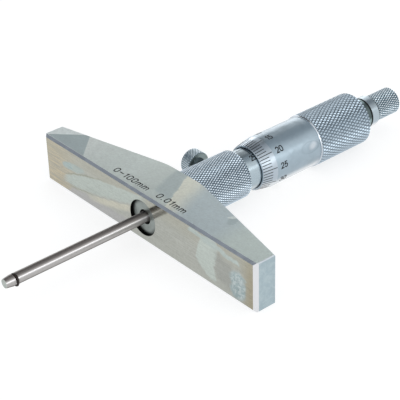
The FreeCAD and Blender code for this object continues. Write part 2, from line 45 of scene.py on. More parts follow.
class Tree:
    """Short calls for building one node tree."""

    def __init__(self, owner):
        owner.use_nodes = True
        self.tree = owner.node_tree
        self.tree.nodes.clear()

    def put(self, socket, value):
        if isinstance(value, bpy.types.NodeSocket):
            self.tree.links.new(value, socket)
        elif value is not None:
            socket.default_value = value

    def node(self, kind, **settings):
        node = self.tree.nodes.new(kind)
        for name, value in settings.items():
            setattr(node, name, value)
        return node

    def fill(self, kind, *values, **settings):
        """Node with its inputs filled in order; returns its first output."""
        node = self.node(kind, **settings)
        for socket, value in zip(node.inputs, values):
            self.put(socket, value)
        return node.outputs[0]

    def maths(self, operation, a, b=None, clamp=False):
        return self.fill("ShaderNodeMath", a, b, operation=operation, use_clamp=clamp)

    def plus(self, a, b, clamp=False):
        return self.maths("ADD", a, b, clamp)

    def minus(self, a, b):
        return self.maths("SUBTRACT", a, b)

    def times(self, a, b):
        return self.maths("MULTIPLY", a, b)

    def over(self, a, b, clamp=False):
        return self.maths("DIVIDE", a, b, clamp)

    def away(self, value, centre=None):
        """How far a value is from a centre, or from zero, to either side."""
        return self.maths("ABSOLUTE", value if centre is None else self.minus(value, centre))

    def length(self, vector):
        node = self.node("ShaderNodeVectorMath", operation="LENGTH")
        self.put(node.inputs[0], vector)
        return node.outputs["Value"]

    def scaled(self, vector, scale):
        node = self.node("ShaderNodeVectorMath", operation="SCALE")
        self.put(node.inputs[0], vector)
        self.put(node.inputs["Scale"], scale)
        return node.outputs["Vector"]

    def place(self):
        """Position on the object in millimetres."""
        return self.scaled(self.node("ShaderNodeTexCoord").outputs["Object"], 1 / MM)

    def facing(self):
        """Direction that the object's surface faces, as x, y and z."""
        return self.split(self.node("ShaderNodeTexCoord").outputs["Normal"])

    def swing(self, value, amount):
        """Noise swung about zero."""
        return self.times(self.minus(value, 0.5), amount)

    def radius(self, x, z):
        """Distance from the Y axis."""
        return self.length(self.join(x, 0.0, z))

    def turn(self, x, z):
        """Angle round the Y axis, from +X towards +Z."""
        return self.maths("ARCTAN2", z, x)

    def split(self, vector):
        node = self.node("ShaderNodeSeparateXYZ")
        self.put(node.inputs[0], vector)
        return node.outputs[0], node.outputs[1], node.outputs[2]

    def join(self, x, y, z):
        return self.fill("ShaderNodeCombineXYZ", x, y, z)

    def noise(self, vector, scale, detail=3.0, roughness=0.55, distortion=0.0):
        node = self.node("ShaderNodeTexNoise")
        self.put(node.inputs["Vector"], vector)
        self.put(node.inputs["Scale"], scale)
        self.put(node.inputs["Detail"], detail)
        self.put(node.inputs["Roughness"], roughness)
        self.put(node.inputs["Distortion"], distortion)
        return node.outputs["Fac"]

    def ramp(self, value, low, high, bottom=0.0, top=1.0, smooth=True):
        """Value carried from one range to another and held inside it."""
        return self.fill("ShaderNodeMapRange", value, low, high, bottom, top, clamp=True,
                         interpolation_type="SMOOTHSTEP" if smooth else "LINEAR")

    def mix(self, share, a, b):
        node = self.node("ShaderNodeMix", data_type="RGBA")
        self.put(node.inputs[0], share)
        self.put(node.inputs[6], colour(a))
        self.put(node.inputs[7], colour(b))
        return node.outputs[2]

    def paint(self, base, mask, tint, share=1.0):
        """Tint laid over a base where the mask is 1, up to a share of it."""
        if share != 1.0:
            mask = self.times(mask, share)
        return self.mix(mask, base, tint)

    def bump(self, height, distance, strength=1.0, normal=None):
        node = self.node("ShaderNodeBump")
        self.put(node.inputs["Strength"], strength)
        self.put(node.inputs["Distance"], distance * MM)
        self.put(node.inputs["Height"], height)
        self.put(node.inputs["Normal"], normal)
        return node.outputs[0]

    def surface(self, **inputs):
        """Principled surface of the material; a socket's name has _ for each space."""
        shader = self.node("ShaderNodeBsdfPrincipled")
        for name, value in inputs.items():
            self.put(shader.inputs[name.replace("_", " ")], colour(value))
        self.finish(shader.outputs[0])

    def glow(self, tint, strength=1.0):
        return self.fill("ShaderNodeEmission", colour(tint), strength)

    def finish(self, shader):
        self.put(self.node("ShaderNodeOutputMaterial").inputs[0], shader)


def colour(value):
    """A tint with its alpha; anything else stays as it is."""
    return (*value, 1.0) if isinstance(value, tuple) and len(value) == 3 else value


def new_material(name):
    """Material with an empty node tree, and the tree."""
    material = bpy.data.materials.new(name)
    return material, Tree(material)


# Materials

CHROME = (0.335, 0.422, 0.485)
# Pale tint for a painted reflection of the white paper on the undersides of turned parts
PAINTED_PAPER_REFLECTION = (0.84, 0.865, 0.88)
KNURL_TIP = (0.92, 0.95, 0.975)
KNURL_ROUGHNESS = 0.25


def tone(red, green, blue, light=1.0):
    """Base colour that shows a given screen colour under a share of the light."""
    linear = [((c / 255 + 0.055) / 1.055) ** 2.4 for c in (red, green, blue)]
    return tuple(min(0.97, c / light) for c in linear)


def dim(tint, share):
    """Darker tint of the same hue."""
    return tuple(c * share for c in tint)


def blob(t, u, v, centre, size, angle=0.0, soft=0.35):
    """Soft ellipse on a face, 1 inside."""
    turn = math.radians(angle)
    du = t.minus(u, centre[0])
    dv = t.minus(v, centre[1])
    along = t.plus(t.times(du, math.cos(turn)), t.times(dv, math.sin(turn)))
    across = t.minus(t.times(dv, math.cos(turn)), t.times(du, math.sin(turn)))
    reach = t.length(t.join(t.over(along, size[0]), t.over(across, size[1]), 0.0))
    return t.ramp(reach, 1.0 + soft / 2, 1.0 - soft / 2)


def side_of(t, u, v, start, end, soft):
    """1 on the left of the line from start to end, with a soft edge."""
    length = math.dist(start, end)
    nu = -(end[1] - start[1]) / length
    nv = (end[0] - start[0]) / length
    reach = t.plus(t.times(u, nu), t.times(v, nv))
    offset = nu * start[0] + nv * start[1]
    return t.ramp(reach, offset - soft / 2, offset + soft / 2)


def area(t, u, v, corners, soft):
    """Convex patch with soft sides; corners run anticlockwise."""
    mask = None
    for start, end in zip(corners, corners[1:] + corners[:1]):
        inside = side_of(t, u, v, start, end, soft)
        mask = inside if mask is None else t.times(mask, inside)
    return mask


def dried_drop(t, base, tint, y, angle, cloud, drop):
    """Dried drop with a darker rim and a pale middle; drop is its height, angle and radius."""
    height, place, radius = drop
    middle = math.radians(place) * radius
    around = t.plus(t.times(angle, radius), t.swing(cloud, 1.6))
    reach = t.length(t.join(t.over(t.minus(y, height), 3.7), t.over(t.minus(around, middle), 1.9), 0.0))
    rim = t.ramp(t.away(reach, 1.0), 0.18, 0.0)
    rim = t.times(rim, t.ramp(t.plus(y, around), 60.5, 68.0, 0.15, 1.0))
    base = t.paint(base, rim, dim(tint, 0.66), 0.5)
    pale = blob(t, y, around, (height + 1.3, middle + 0.3), (1.5, 1.0), 20, 1.2)
    return t.paint(base, pale, (0.60, 0.64, 0.68), 0.6)


def turned_metal(name, tint, roughness, stain=0.12, film=0.0, drop=None, painted_recess_shade=None, painted_shading_band=None, bright=0.0):
    """Fine satin finish turned about the Y axis, with faint stains.

    film is a share of clear coat and drop a dried drop. painted_recess_shade darkens it between two radii, as
    painted shade in a recess.
    painted_shading_band is a strip along it of painted shade when its share is below 1 and of painted light
    when above 1: angle, half width in radians and share of the tint.
    bright paints the underside paler: a painted reflection of the white paper that it lies next to.
    """
    material, t = new_material(name)
    at = t.place()
    x, y, z = t.split(at)
    radius = t.radius(x, z)
    angle = t.turn(x, z)
    rings = t.noise(t.join(t.times(y, 9.0), t.times(radius, 9.0), 0.0), 1.0, 4.0, 0.7)
    cloud = t.noise(at, 0.16, 4.0, 0.6, 0.6)
    wave = t.noise(at, 0.13, 2.0, 0.5, 0.3)
    smear = t.ramp(cloud, 0.42, 0.68)
    base = t.mix(t.times(smear, stain), tint, dim(tint, 0.72))
    if drop:
        base = dried_drop(t, base, tint, y, angle, cloud, drop)
    # Painted shade: darker between two radii, towards the corner of a recess
    if painted_recess_shade:
        base = t.mix(t.ramp(radius, *painted_recess_shade), base, dim(tint, 0.12))
    # Painted shade or painted light in a strip along one side of the turn, as its share says
    if painted_shading_band:
        place, half_width, share = painted_shading_band
        side = t.plus(t.away(angle, math.radians(place)), t.swing(cloud, 0.25))
        base = t.mix(t.ramp(side, half_width, half_width - 0.2), base, dim(tint, share))
    # Painted reflection: the underside, beside the white paper, is painted paler
    if bright:
        under = t.times(t.ramp(angle, -0.26, -0.60, 0.0, bright), t.ramp(angle, -3.0, -2.6))
        flat = t.away(t.facing()[1])
        base = t.mix(t.times(under, t.ramp(flat, 0.7, 0.4)), base, PAINTED_PAPER_REFLECTION)
    uneven = t.plus(t.swing(rings, 0.08), t.swing(cloud, 0.22))
    t.surface(Base_Color=base, Metallic=1.0, Coat_Weight=film, Coat_Roughness=0.22, Coat_IOR=1.6,
              Roughness=t.plus(uneven, roughness, clamp=True),
              Normal=t.bump(rings, 0.004, 0.5, t.bump(wave, 0.35, 1.0)))
    return material


def knurled_metal(name, tint, top, depth, centre=None, foot=None, worn=(0.5, 0.8), groove=0.14):
    """The same finish on a knurl: worn tips with a painted highlight over grooves in painted shade.

    top is the radius of the tips, about the Y axis or about an X axis at a height. They pale
    between two shares of the depth, partly as wear and partly as painted highlight, and groove is what is
    left of the tint at the bottom, as painted shade.
    foot is a painted shadow next to a shoulder: a band that is dark below and clear above.
    """
    material, t = new_material(name)
    at = t.place()
    x, y, z = t.split(at)
    radius = t.radius(x if centre is None else t.minus(y, centre), z)
    height = t.ramp(radius, top - depth, top, smooth=False)
    groove_shade_and_tip_wear = t.plus(height, t.swing(t.noise(at, 0.5, 3.0, 0.6), 0.3))
    # Painted shade: the grooves are darker towards their bottom
    base = t.mix(t.ramp(groove_shade_and_tip_wear, 0.0, 0.5), dim(tint, groove), tint)
    # Pale tips: partly wear, partly painted highlight
    base = t.mix(t.ramp(groove_shade_and_tip_wear, *worn), base, KNURL_TIP)
    if foot:
        # Painted shadow: a dark band below the given height, next to the shoulder
        base = t.mix(t.ramp(y, *foot), dim(tint, 0.12), base)
    t.surface(Base_Color=base, Metallic=1.0,
              Roughness=t.ramp(height, 0.0, 1.0, KNURL_ROUGHNESS + 0.15, KNURL_ROUGHNESS),
              Normal=t.bump(t.noise(at, 7.0, 3.0, 0.6), 0.01, 0.4))
    return material


def plain_surface(name, tint, roughness, metallic=0.0, depth=0.01, shine=0.5):
    """Even surface with a fine grain."""
    material, t = new_material(name)
    fine = t.noise(t.place(), 6.0, 4.0, 0.6)
    base = t.mix(fine, dim(tint, 0.8), tuple(min(1.0, c * 1.15) for c in tint))
    t.surface(Base_Color=base, Metallic=metallic, Specular_IOR_Level=shine,
              Roughness=t.ramp(fine, 0.2, 0.8, roughness - 0.08, roughness + 0.08),
              Normal=t.bump(fine, depth, 0.6))
    return material


def rod_metal():
    """Dark hardened steel, ground round its axis, so that lights spread along it.

    A painted highlight streak runs between bands of painted shade, above a lower edge in painted shade. The
    lapped end is pale.
    """
    material, t = new_material("rod_steel")
    at = t.place()
    x, y, z = t.split(at)
    angle = t.turn(x, z)
    lines = t.noise(t.join(t.times(y, 7.0), 0.0, 0.0), 1.0, 4.0, 0.7)
    cloud = t.noise(at, 0.25, 3.0, 0.6)
    base = t.mix(t.ramp(cloud, 0.35, 0.7), (0.47, 0.455, 0.445), (0.51, 0.50, 0.49))
    # Painted shade: darker bands on both sides of the turn
    side = t.plus(t.away(angle, 0.21), t.swing(cloud, 0.2))
    dull = t.times(t.ramp(side, 0.42, 0.88), t.ramp(side, 1.75, 1.35))
    base = t.mix(dull, base, (0.235, 0.215, 0.205))
    # Painted highlight: a pale streak along the rod
    streak = t.ramp(t.away(angle, 0.52), 0.23, 0.05, 0.0, 0.85)
    base = t.mix(streak, base, (0.68, 0.67, 0.685))
    # Painted shade along the rod's lower edge
    low_edge = t.times(t.ramp(angle, -0.5, -0.8), t.ramp(angle, -1.6, -1.3))
    base = t.mix(low_edge, base, (0.19, 0.175, 0.165))
    base = t.mix(t.ramp(t.facing()[1], -0.80, -0.95), base, (0.58, 0.62, 0.59))
    tangent = t.node("ShaderNodeTangent", direction_type="RADIAL", axis="Y").outputs[0]
    t.surface(Base_Color=base, Metallic=1.0, Specular_Tint=(0.36, 0.35, 0.34), Anisotropic=0.95,
              Anisotropic_Rotation=0.25, Tangent=tangent,
              Roughness=t.ramp(lines, 0.25, 0.75, 0.34, 0.39),
              Normal=t.bump(lines, 0.001, 0.4))
    return material


# Shares of the studio that the measuring face and the side face show; the second is at
# the middle of its length and rises a little with every millimetre
FRONT_LIGHT = 0.96
TOP_LIGHT = 0.69
TOP_LIGHT_RISE = 0.0002
# Where a flat near the base's far corner lies on the side face. The flat is not modelled: its darker tone and
# the paler strip beyond its slanted edge are painted reflection.
CORNER_FLAT = [(-49.9, 0.9), (-30.6, 0.9), (-39.6, 10.6)]


def front_tones(t, x, z, at):
    """Lapped measuring face: warm bare steel, pale dried films, a blotted end."""
    wobble = t.minus(t.noise(at, 0.22, 4.0, 0.6), 0.5)
    u = t.plus(x, t.times(wobble, 5.0))
    v = t.plus(z, t.times(wobble, 2.4))
    streak = t.noise(t.join(t.times(x, 0.10), 0.0, t.times(z, 2.6)), 1.0, 4.0, 0.62, 0.4)

    def seen(*screen):
        return tone(*screen, FRONT_LIGHT)

    # Bare steel, cooler at the near end and along the upper edge
    base = t.mix(t.ramp(streak, 0.40, 0.60), seen(166, 163, 150), seen(182, 172, 148))
    base = t.paint(base, t.ramp(u, -44, -30), seen(170, 172, 165))
    base = t.paint(base, t.ramp(x, 43, 49), seen(157, 151, 132))
    base = t.paint(base, t.ramp(z, 1.0, 7.0), seen(165, 163, 148), 0.5)
    low_film = area(t, u, v, [(-40, -9), (-6, -9), (-6, -4.0), (-36, -5.2)], 1.6)
    base = t.paint(base, low_film, seen(170, 170, 170), 0.8)

    # Big pale sweep, wider towards the bore, between an upper and a lower curve
    run = t.over(t.plus(x, 43.0), 43.0, clamp=True)
    upper = t.minus(t.times(t.maths("POWER", run, 0.5), 13.5), 5.6)
    lower = t.minus(t.times(t.maths("POWER", run, 1.5), 9.5), 5.7)
    level = t.plus(z, t.times(wobble, 1.6))
    over_lower = t.minus(level, lower)
    inside = t.times(t.ramp(t.minus(upper, level), 0.0, 0.7), t.ramp(over_lower, 0.0, 0.9))
    ends = t.times(t.ramp(x, -42.5, -38), t.ramp(x, 4.0, -3.0))
    sweep = t.times(inside, ends)

    # Beige band under the sweep, darker rim over it and a fold along its lower curve
    beige = t.times(t.ramp(t.minus(lower, level), 0.0, 0.5), t.ramp(over_lower, -3.4, -1.6))
    beige = t.times(beige, t.times(t.ramp(x, -31, -20), t.ramp(x, -4, -8)))
    base = t.paint(base, beige, seen(192, 190, 175), 0.85)
    base = t.paint(base, sweep, seen(176, 184, 178))
    rim = t.ramp(t.away(upper, level), 0.45, 0.1)
    rim = t.times(rim, t.times(t.ramp(x, -41, -38), t.ramp(x, -14, -27)))
    base = t.paint(base, rim, seen(142, 146, 132), 0.6)
    fold = t.ramp(t.away(level, lower), 0.4, 0.05)
    fold = t.times(fold, t.times(t.ramp(x, -39, -36), t.ramp(x, -20, -30)))
    base = t.paint(base, fold, seen(150, 154, 142), 0.6)
    base = t.paint(base, blob(t, u, v, (-35.3, 2.4), (5.2, 1.5), 8), seen(163, 174, 170), 0.9)
    base = t.paint(base, blob(t, u, v, (-38.3, 1.9), (2.4, 1.4), 10), seen(156, 172, 172), 0.6)

    # Far end: fan-shaped film, brown patch, streak over it and a mottled blot
    fan = blob(t, u, v, (32.4, 0.9), (7.0, 7.4), 12, 0.12)
    fan = t.times(fan, side_of(t, u, v, (33.4, -7.0), (33.9, 6.5), 1.0))
    base = t.paint(base, fan, seen(181, 189, 183))
    brown = area(t, u, v, [(34.0, -4.5), (40.5, -6.0), (41.0, 3.0), (33.0, 4.2)], 2.4)
    base = t.paint(base, brown, seen(152, 154, 149), 0.75)
    upper_film = area(t, u, v, [(22, 6.0), (34, 4.9), (44.0, 4.0), (43.6, 5.2), (36, 6.9), (22, 7.6)], 0.7)
    base = t.paint(base, upper_film, seen(174, 184, 180))
    blot = blob(t, u, v, (43.2, -2.6), (3.3, 4.6), 6, 0.4)
    spots = t.ramp(t.noise(at, 0.55, 5.0, 0.7, 1.4), 0.40, 0.66)
    base = t.paint(base, blot, seen(146, 162, 164))
    base = t.paint(base, t.times(blot, spots), seen(184, 194, 194))

    # Grain of the lapping, wavy inside the sweep
    waves = t.noise(t.join(t.times(x, 0.3), 0.0, t.times(over_lower, 2.4)), 1.0, 4.0, 0.6, 0.5)
    base = t.paint(base, t.times(sweep, t.ramp(waves, 0.55, 0.7)), seen(158, 165, 156), 0.7)
    mottle = t.ramp(t.noise(at, 0.9, 4.0, 0.75, 0.6), 0.3, 0.7, -0.075, 0.075, smooth=False)
    grain = t.plus(t.ramp(streak, 0.25, 0.75, 0.86, 1.12, smooth=False), mottle)
    return t.scaled(base, grain), streak


def top_tones(t, x, y, at):
    """Ground side face: faint clouds, a painted reflection of a flat at the far corner and a diagonal rub."""
    wobble = t.minus(t.noise(at, 0.3, 4.0, 0.6), 0.5)
    u = t.plus(x, t.times(wobble, 2.2))
    v = t.plus(y, t.times(wobble, 1.2))

    def seen(red, green, blue, place):
        return tone(red, green, blue, TOP_LIGHT + TOP_LIGHT_RISE * place)

    base = t.mix(t.ramp(x, -40, -20), seen(184, 190, 188, -38), seen(178, 186, 183, -20))
    base = t.paint(base, t.ramp(u, -16, 0), seen(171, 179, 176, -5))
    rub = area(t, u, v, [(1.0, 4.0), (8.5, 4.0), (0.5, 19.0), (-4.5, 19.0)], 2.4)
    base = t.paint(base, rub, seen(150, 161, 162, 2), 0.8)
    base = t.paint(base, side_of(t, u, v, (0.5, 19.0), (8.5, 4.0), 0.5), seen(190, 192, 182, 8))
    base = t.paint(base, t.ramp(t.plus(u, t.times(y, 0.35)), 11.0, 19.0), seen(160, 171, 174, 20))
    base = t.paint(base, t.ramp(u, 28.0, 39.0), seen(169, 179, 176, 42))
    base = t.paint(base, blob(t, u, v, (29.6, 10.6), (1.4, 2.6), 20), seen(140, 152, 154, 30), 0.6)
    base = t.paint(base, blob(t, u, v, (28.4, 11.6), (1.6, 0.7), 50), seen(190, 196, 194, 30), 0.7)
    # Painted reflection: darker on the flat, paler beyond its slanted edge
    base = t.paint(base, area(t, x, y, CORNER_FLAT, 0.35), seen(148, 160, 162, -42))
    base = t.paint(base, side_of(t, x, y, CORNER_FLAT[0], CORNER_FLAT[2], 0.4), seen(193, 200, 200, -48))
    cloud = t.noise(at, 0.45, 5.0, 0.65, 0.8)
    specks = t.ramp(t.noise(at, 1.3, 3.0, 0.7, 0.5), 0.3, 0.7, -0.07, 0.07, smooth=False)
    grain = t.plus(t.ramp(cloud, 0.25, 0.75, 0.92, 1.06, smooth=False), specks)
    return t.scaled(base, grain), cloud


def base_steel():
    """Ground block with a lapped measuring face, brighter bevels and a bore wall in painted shade."""
    material, t = new_material("base_steel")
    at = t.place()
    x, y, z = t.split(at)
    nx, ny, nz = t.facing()
    front = t.ramp(ny, -0.85, -0.95)
    top = t.ramp(t.away(nz), 0.85, 0.95)
    end = t.ramp(t.away(nx), 0.85, 0.95)
    bevel = t.ramp(t.times(t.away(nx), t.away(ny)), 0.42, 0.48)
    bore = t.times(t.ramp(t.radius(x, z), 6.45, 6.2), t.minus(1.0, front))
    warm, streak = front_tones(t, x, z, at)
    cool, cloud = top_tones(t, x, y, at)
    # The end face is darker than the bevels: partly its rougher grind, partly painted shade for the darker
    # reflection it shows
    end_tone = t.mix(t.ramp(cloud, 0.4, 0.65), (0.37, 0.46, 0.50), (0.45, 0.54, 0.57))
    # Painted shade on the bore wall: black towards -X and -Z, grey towards +X and +Z
    lit = t.ramp(t.plus(t.times(x, 0.85), t.times(z, 0.5)), 0.0, 4.0)
    base = t.mix(top, (0.54, 0.585, 0.63), cool)
    base = t.mix(end, base, end_tone)
    base = t.mix(bevel, base, (0.76, 0.77, 0.79))
    base = t.mix(front, base, warm)
    base = t.mix(bore, base, t.mix(lit, (0.02, 0.02, 0.02), (0.30, 0.31, 0.30)))
    fine = t.noise(t.join(t.times(x, 0.5), t.times(y, 8.0), t.times(z, 8.0)), 1.0, 4.0, 0.7)
    rough = t.mix(front, t.ramp(cloud, 0.3, 0.7, 0.34, 0.44), t.ramp(streak, 0.3, 0.7, 0.11, 0.19))
    t.surface(Base_Color=base, Metallic=1.0, Roughness=rough, Normal=t.bump(fine, 0.003, 0.5))
    return material


# Sizes that several pieces share
BASE_HALF = 8.5
SLEEVE_RADIUS = 6.9
FRONT_RADIUS = 7.7
BARREL_RADIUS = 8.7
GRIP_RADIUS = 9.15
BEVEL_START = 43.2
BEVEL_END = 48.7
LOCK_HEIGHT = 33.1
# Corners closer than this are one
MERGE = 1e-4
# Percent of a diamond's edges that its blunt tip takes up
TIP_FLAT = 24

chrome = turned_metal("satin_chrome", CHROME, 0.38, stain=0.16, film=0.7)
# The barrel's underside carries a painted reflection of the white paper
barrel_chrome = turned_metal(
    "barrel_chrome", CHROME, 0.38, stain=0.34, film=0.7, drop=(63.6, 21.0, BARREL_RADIUS), bright=0.85)
# Knob ring: painted shade in a band at 58 degrees and a painted reflection of the white paper on its
# underside
ring_chrome = turned_metal(
    "fine_chrome", (0.42, 0.50, 0.555), 0.28, stain=0.1, film=0.4, painted_shading_band=(58.0, 0.42, 0.74), bright=1.0)
# Sleeve: painted shade in a band along its top at 86 degrees and a painted reflection of the white paper on
# its underside
sleeve_chrome = turned_metal(
    "sleeve_chrome", (0.42, 0.505, 0.555), 0.27, stain=0.15, painted_shading_band=(86.0, 0.42, 0.52), bright=0.4)
# Scale bevel: painted highlight in a paler band along its top at 110 degrees and a painted reflection of the
# white paper on its underside
scale_chrome = turned_metal(
    "scale_chrome", (0.445, 0.512, 0.572), 0.34, stain=0.15, film=0.3, painted_shading_band=(110.0, 0.60, 1.4), bright=0.8)
# Pale tint for the grip's start bevel: a painted highlight
painted_grip_edge_highlight = turned_metal("painted_grip_edge_highlight", (0.60, 0.65, 0.70), 0.26, stain=0.1)
# Disc in the bore: painted shade, darker towards its rim between 4.4 and 6 mm
bore_steel = turned_metal("bore_steel", (0.30, 0.335, 0.32), 0.36, stain=0.95, painted_recess_shade=(4.4, 6.0))
# Cap: its dark tint and a darker band at 37 degrees are painted shade for the dark reflection on it
cap_steel = turned_metal("cap_steel", (0.29, 0.385, 0.395), 0.34, stain=0.2, painted_shading_band=(37.0, 0.66, 0.33))
# Lock screw neck: dark tint as painted shade between the drum and the hub
neck_steel = turned_metal("neck_steel", (0.075, 0.10, 0.11), 0.5, stain=0.2)
lock_steel = turned_metal("lock_steel", (0.50, 0.57, 0.55), 0.42, stain=0.2)
steel = turned_metal("turned_steel", (0.36, 0.40, 0.385), 0.32)
ink = plain_surface("black_filling", (0.010, 0.011, 0.013), 0.6, shine=0.15)
rubber = plain_surface("black_rubber", (0.018, 0.011, 0.009), 0.5, depth=0.02, shine=0.25)
brass = plain_surface("brass", (0.78, 0.60, 0.30), 0.3, metallic=1.0)
# Near black: painted shadow on the knob's front face and chamfer
shadow_steel = plain_surface("painted_shadow_black", (0.03, 0.035, 0.035), 0.5, metallic=1.0)


# Meshes

def finish_mesh(name, build, material, body, sharp=32.0):
    """Turn a bmesh in millimetres into an object that rides on a body."""
    bmesh.ops.remove_doubles(build, verts=build.verts, dist=MERGE)
    bmesh.ops.recalc_face_normals(build, faces=build.faces)
    bmesh.ops.scale(build, vec=(MM, MM, MM), verts=build.verts)
    mesh = bpy.data.meshes.new(name)
    build.to_mesh(mesh)
    build.free()
    mesh.materials.append(material)
    for polygon in mesh.polygons:
        polygon.use_smooth = True
    mesh.set_sharp_from_angle(angle=math.radians(sharp))
    obj = bpy.data.objects.new(name, mesh)
    bpy.context.scene.collection.objects.link(obj)
    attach(obj, body)
    return obj


class Knurl:
    """Band of diamond knurling on a turned profile, between two heights.

    The bevels carry the grooves past the ends of the band, as shares of their depth.
    """

    def __init__(self, radius, low, high, rows, depth, low_bevel=0.0, high_bevel=0.0):
        self.radius = radius
        self.low = low
        self.high = high
        self.rows = rows
        self.depth = depth
        self.low_bevel = low_bevel
        self.high_bevel = high_bevel

    def ring(self, row, columns):
        """Radius and height of each corner in a row, and whether it is a tip."""
        level = self.low + (self.high - self.low) / self.rows * row
        tip = (self.radius, level, True)
        if row == 0:
            level -= self.depth * self.low_bevel
        if row == self.rows:
            level += self.depth * self.high_bevel
        groove = (self.radius - self.depth, level, False)
        return [tip if (row + column) % 2 else groove for column in range(columns)]


def turned_mesh(profile, grooves):
    """Solid of revolution about Y; profile holds (radius, height) and knurls.

    Two opposite families of grooves make diamonds. Each diamond's edges lie in
    the grooves, so a grid of half steps holds its corners and its tip.
    """
    columns = 2 * grooves
    rings = []
    for item in profile:
        if isinstance(item, Knurl):
            rings += [(item.ring(row, columns), row < item.rows) for row in range(item.rows + 1)]
        else:
            rings.append(([(*item, False)] * columns, False))
    build = bmesh.new()
    grid = []
    tips = []
    for ring, _ in rings:
        line = []
        for column, (radius, height, tip) in enumerate(ring):
            angle = math.tau * column / columns
            vert = build.verts.new((radius * math.cos(angle), height, radius * math.sin(angle)))
            line.append(vert)
            if tip:
                tips.append(vert)
        grid.append(line)
    for here, there, (ring, knurled) in zip(grid, grid[1:] + grid[:1], rings):
        for column in range(columns):
            following = (column + 1) % columns
            corners = [here[column], here[following], there[following], there[column]]
            if not knurled:
                build.faces.new(corners)
            elif ring[column][2]:
                build.faces.new([corners[0], corners[1], corners[3]])
                build.faces.new([corners[1], corners[2], corners[3]])
            else:
                build.faces.new([corners[0], corners[1], corners[2]])
                build.faces.new([corners[0], corners[2], corners[3]])
    if tips:
        bmesh.ops.bevel(
            build, geom=tips, offset=TIP_FLAT, offset_type="PERCENT", segments=1, affect="VERTICES")
    return build


def knurl_faces(obj, material, low, high, least, centre=None):
    """Flat shading and the knurl's own material between two heights, outside a radius."""
    obj.data.materials.append(material)
    for polygon in obj.data.polygons:
        x, y, z = polygon.center / MM
        radius = math.hypot(x, z) if centre is None else math.hypot(y - centre, z)
        along = y if centre is None else -x
        if low < along < high and radius > least:
            polygon.material_index = 1
            polygon.use_smooth = False


def give_faces(obj, material, wanted):
    """Give the faces that a test picks a material of their own."""
    obj.data.materials.append(material)
    for polygon in obj.data.polygons:
        if wanted(polygon):
            polygon.material_index = len(obj.data.materials) - 1


# Knurled hub, drawn over its node, with a hole for the lock screw
hub_knurl = Knurl(8.2, 17.75, 37.55, rows=24, depth=0.28, low_bevel=1.0, high_bevel=1.0)
hub_build = turned_mesh([
    (2.5, 0.9), (6.03, 0.9), (6.03, 17.4), (7.85, 17.4),
    hub_knurl,
    (7.6, 38.1), (6.93, 38.1), (6.93, 37.76), (5.92, 37.76), (5.92, 19.0), (3.6, 19.0), (3.6, 4.0), (2.5, 4.0)
], grooves=58)
hub = finish_mesh("hub_detail", hub_build, chrome, "base")
hub_metal = knurled_metal("hub_knurl", (0.525, 0.65, 0.755), hub_knurl.radius, depth=0.27)
knurl_faces(hub, hub_metal, 17.45, 38.05, 7.72)
give_faces(hub, bore_steel, lambda face: face.center.y < 10.0 * MM)
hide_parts("knurled_hub")


def cut_hole(obj, radius, centre, reach):
    """Radial hole towards -X, cut through the object's wall."""
    build = bmesh.new()
    bmesh.ops.create_cone(build, cap_ends=True, segments=40, radius1=radius * MM, radius2=radius * MM,
                          depth=(reach[1] - reach[0]) * MM, matrix=Matrix.Rotation(math.pi / 2, 4, "Y"))
    bmesh.ops.translate(build, verts=build.verts, vec=(-(reach[0] + reach[1]) / 2 * MM, centre * MM, 0))
    mesh = bpy.data.meshes.new("cutter")
    build.to_mesh(mesh)
    build.free()
    cutter = bpy.data.objects.new("cutter", mesh)
    bpy.context.scene.collection.objects.link(cutter)
    modifier = obj.modifiers.new("hole", "BOOLEAN")
    modifier.operation = "DIFFERENCE"
    modifier.solver = "EXACT"
    modifier.object = cutter
    bpy.context.view_layer.update()
    shape = obj.evaluated_get(bpy.context.evaluated_depsgraph_get())
    cut = bpy.data.meshes.new_from_object(shape)
    obj.modifiers.clear()
    old = obj.data
    obj.data = cut
    bpy.data.meshes.remove(old)
    bpy.data.objects.remove(cutter)
    bpy.data.meshes.remove(mesh)


cut_hole(hub, 2.05, LOCK_HEIGHT, (5.0, 9.0))

# Thimble: bevel for the scale, barrel, knurled grip
grip_knurl = Knurl(GRIP_RADIUS, 68.65, 91.05, rows=21, depth=0.34, high_bevel=1.0)
thimble_build = turned_mesh([
    (7.08, 44.1), (7.12, 43.25), (7.2, BEVEL_START), (7.6, BEVEL_START), (FRONT_RADIUS, 43.3),
    (BARREL_RADIUS, BEVEL_END), (BARREL_RADIUS, 68.1), (8.92, 68.15), (9.03, 68.52),
    grip_knurl,
    (8.7, 91.5), (4.42, 91.5), (4.42, 82.0), (7.05, 82.0)
], grooves=47)
thimble = finish_mesh("thimble_detail", thimble_build, barrel_chrome, "thimble", sharp=20.0)
thimble_metal = knurled_metal(
    "grip_knurl", (0.46, 0.562, 0.648), grip_knurl.radius, grip_knurl.depth, worn=(0.6, 1.25), groove=0.32)
knurl_faces(thimble, thimble_metal, 68.56, 91.45, 8.65)


def on_grip_edge(face):
    return 68.11 * MM < face.center.y < 68.5 * MM and face.material_index == 0


# The grip's start bevel gets its pale tint, a painted highlight
give_faces(thimble, painted_grip_edge_highlight, on_grip_edge)
give_faces(thimble, scale_chrome, lambda face: face.center.y < BEVEL_END * MM)
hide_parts("thimble")

# Ratchet knob: plain ring and knurled end over a grooved floor
knob_knurl = Knurl(4.75, 99.75, 110.2, rows=12, depth=0.26, low_bevel=1.0, high_bevel=1.0)
knob_build = turned_mesh([
    (2.15, 96.05), (5.1, 96.05), (5.45, 96.4), (5.45, 99.3), (5.3, 99.5), (4.45, 99.5),
    knob_knurl,
    (4.25, 110.7), (3.7, 110.7), (3.7, 98.2), (2.15, 98.2)
], grooves=34)
knob = finish_mesh("ratchet_detail", knob_build, ring_chrome, "ratchet", sharp=20.0)
